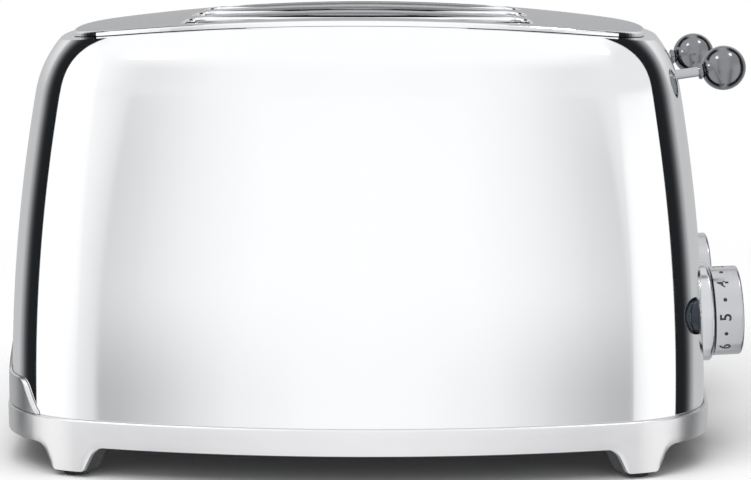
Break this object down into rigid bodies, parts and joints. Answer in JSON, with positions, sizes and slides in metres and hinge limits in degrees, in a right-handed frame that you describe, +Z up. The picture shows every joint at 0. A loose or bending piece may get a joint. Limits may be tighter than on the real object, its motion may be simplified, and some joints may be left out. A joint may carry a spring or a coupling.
{
  "type": "four-slice toaster",
  "caption": "Four-slot bread toaster with a rounded chromed body, crowned satin deck, base ring drawn into tapered feet, ball-ended levers, browning dials and pull-out crumb trays.",
  "frame": {"origin": "on the surface that the toaster stands on, under the middle of its bounding box", "axes": "+X along the slots towards the levers and dials, +Y towards the back, +Z up"},
  "size_m": [0.3755, 0.324, 0.2205],
  "materials": {
    "chromed_steel": "mirror plated",
    "satin_steel": "fine satin",
    "base_metal": "satin silver",
    "black_plastic": "matte",
    "rubber": "matte",
    "plated_sheet": "bright zinc plated",
    "mica": "mica card",
    "steel_wire": "drawn wire",
    "circuit_board": "lacquered board",
    "copper_coil": "wound coil",
    "pale_button": "pale satin",
    "dark_trim": "dark blue grey",
    "brushed_knob": "turned and brushed"
  },
  "bodies": {
    "chassis": {"base_moulding": "black_plastic", "base_ring": "base_metal", "base_screws": "plated_sheet", "browning_control_front": "black_plastic", "browning_control_rear": "black_plastic", "button_trims_front": "dark_trim", "button_trims_rear": "dark_trim", "cable_gland": "black_plastic", "control_board_front": "circuit_board", "control_board_rear": "circuit_board", "dial_bezel_front": "brushed_knob", "dial_bezel_rear": "brushed_knob", "electromagnet_front": "copper_coil", "electromagnet_rear": "copper_coil", "end_plate_left": "plated_sheet", "end_plate_right": "plated_sheet", "foot_pad_front_left": "rubber", "foot_pad_front_right": "rubber", "foot_pad_rear_left": "rubber", "foot_pad_rear_right": "rubber", "guide_rod_front": "steel_wire", "guide_rod_rear": "steel_wire", "heater_front_inner": "mica", "heater_front_middle": "mica", "heater_front_outer": "mica", "heater_rear_inner": "mica", "heater_rear_middle": "mica", "heater_rear_outer": "mica", "outer_shell": "chromed_steel", "reflector_front": "plated_sheet", "reflector_middle": "plated_sheet", "reflector_rear": "plated_sheet", "return_spring_front": "steel_wire", "return_spring_rear": "steel_wire", "top_deck": "satin_steel"},
    "lever_unit_front": {"carriage_front": "plated_sheet", "bread_rack_front": "plated_sheet", "lever_stem_front": "chromed_steel", "lever_ball_front": "chromed_steel"},
    "guides_front_rearward": {"bread_guides_front_rearward": "steel_wire"},
    "guides_front_forward": {"bread_guides_front_forward": "steel_wire"},
    "tray_front": {"crumb_tray_front": "plated_sheet", "tray_cover_front": "base_metal"},
    "dial_front": {"dial_knob_front": "brushed_knob", "dial_spindle_front": "plated_sheet"},
    "button_front_inner": {"push_button_front_inner": "pale_button"},
    "button_front_outer": {"push_button_front_outer": "pale_button"},
    "lever_unit_rear": {"carriage_rear": "plated_sheet", "bread_rack_rear": "plated_sheet", "lever_stem_rear": "chromed_steel", "lever_ball_rear": "chromed_steel"},
    "guides_rear_rearward": {"bread_guides_rear_rearward": "steel_wire"},
    "guides_rear_forward": {"bread_guides_rear_forward": "steel_wire"},
    "tray_rear": {"crumb_tray_rear": "plated_sheet", "tray_cover_rear": "base_metal"},
    "dial_rear": {"dial_knob_rear": "brushed_knob", "dial_spindle_rear": "plated_sheet"},
    "button_rear_inner": {"push_button_rear_inner": "pale_button"},
    "button_rear_outer": {"push_button_rear_outer": "pale_button"}
  },
  "joints": [
    {"name": "lever_front", "type": "slide", "parent": "chassis", "child": "lever_unit_front", "axis": [0, 0, -1], "range_m": [0, 0.048], "stiffness_N_per_m": 90, "springref_m": -0.08, "deforming": ["return_spring_front"]},
    {"name": "guide_front_rearward", "type": "slide", "parent": "chassis", "child": "guides_front_rearward", "axis": [0, 1, 0], "range_m": [0, 0.006]},
    {"name": "guide_front_forward", "type": "slide", "parent": "chassis", "child": "guides_front_forward", "axis": [0, -1, 0], "range_m": [0, 0.006]},
    {"name": "tray_front_slide", "type": "slide", "parent": "chassis", "child": "tray_front", "axis": [-1, 0, 0], "range_m": [0, 0.24]},
    {"name": "dial_front_turn", "type": "hinge", "parent": "chassis", "child": "dial_front", "pos_m": [0.1724, -0.059, 0.067], "axis": [0.9986, 0, 0.0523], "range_deg": [-135, 90]},
    {"name": "button_front_inner_press", "type": "slide", "parent": "chassis", "child": "button_front_inner", "axis": [-0.9984, 0.0192, -0.0536], "range_m": [0, 0.0015], "stiffness_N_per_m": 400, "springref_m": -0.002},
    {"name": "button_front_outer_press", "type": "slide", "parent": "chassis", "child": "button_front_outer", "axis": [-0.9014, 0.4296, -0.0536], "range_m": [0, 0.0015], "stiffness_N_per_m": 400, "springref_m": -0.002},
    {"name": "lever_rear", "type": "slide", "parent": "chassis", "child": "lever_unit_rear", "axis": [0, 0, -1], "range_m": [0, 0.048], "stiffness_N_per_m": 90, "springref_m": -0.08, "deforming": ["return_spring_rear"]},
    {"name": "guide_rear_rearward", "type": "slide", "parent": "chassis", "child": "guides_rear_rearward", "axis": [0, 1, 0], "range_m": [0, 0.006]},
    {"name": "guide_rear_forward", "type": "slide", "parent": "chassis", "child": "guides_rear_forward", "axis": [0, -1, 0], "range_m": [0, 0.006]},
    {"name": "tray_rear_slide", "type": "slide", "parent": "chassis", "child": "tray_rear", "axis": [-1, 0, 0], "range_m": [0, 0.24]},
    {"name": "dial_rear_turn", "type": "hinge", "parent": "chassis", "child": "dial_rear", "pos_m": [0.1724, 0.059, 0.067], "axis": [0.9986, 0, 0.0523], "range_deg": [-135, 90]},
    {"name": "button_rear_inner_press", "type": "slide", "parent": "chassis", "child": "button_rear_inner", "axis": [-0.9984, -0.0192, -0.0536], "range_m": [0, 0.0015], "stiffness_N_per_m": 400, "springref_m": -0.002},
    {"name": "button_rear_outer_press", "type": "slide", "parent": "chassis", "child": "button_rear_outer", "axis": [-0.9014, -0.4296, -0.0536], "range_m": [0, 0.0015], "stiffness_N_per_m": 400, "springref_m": -0.002}
  ],
  "couplings": [
    {"joint": "guide_front_rearward", "follows": "lever_front", "ratio": 0.125},
    {"joint": "guide_front_forward", "follows": "lever_front", "ratio": 0.125},
    {"joint": "guide_rear_rearward", "follows": "lever_rear", "ratio": 0.125},
    {"joint": "guide_rear_forward", "follows": "lever_rear", "ratio": 0.125}
  ]
}
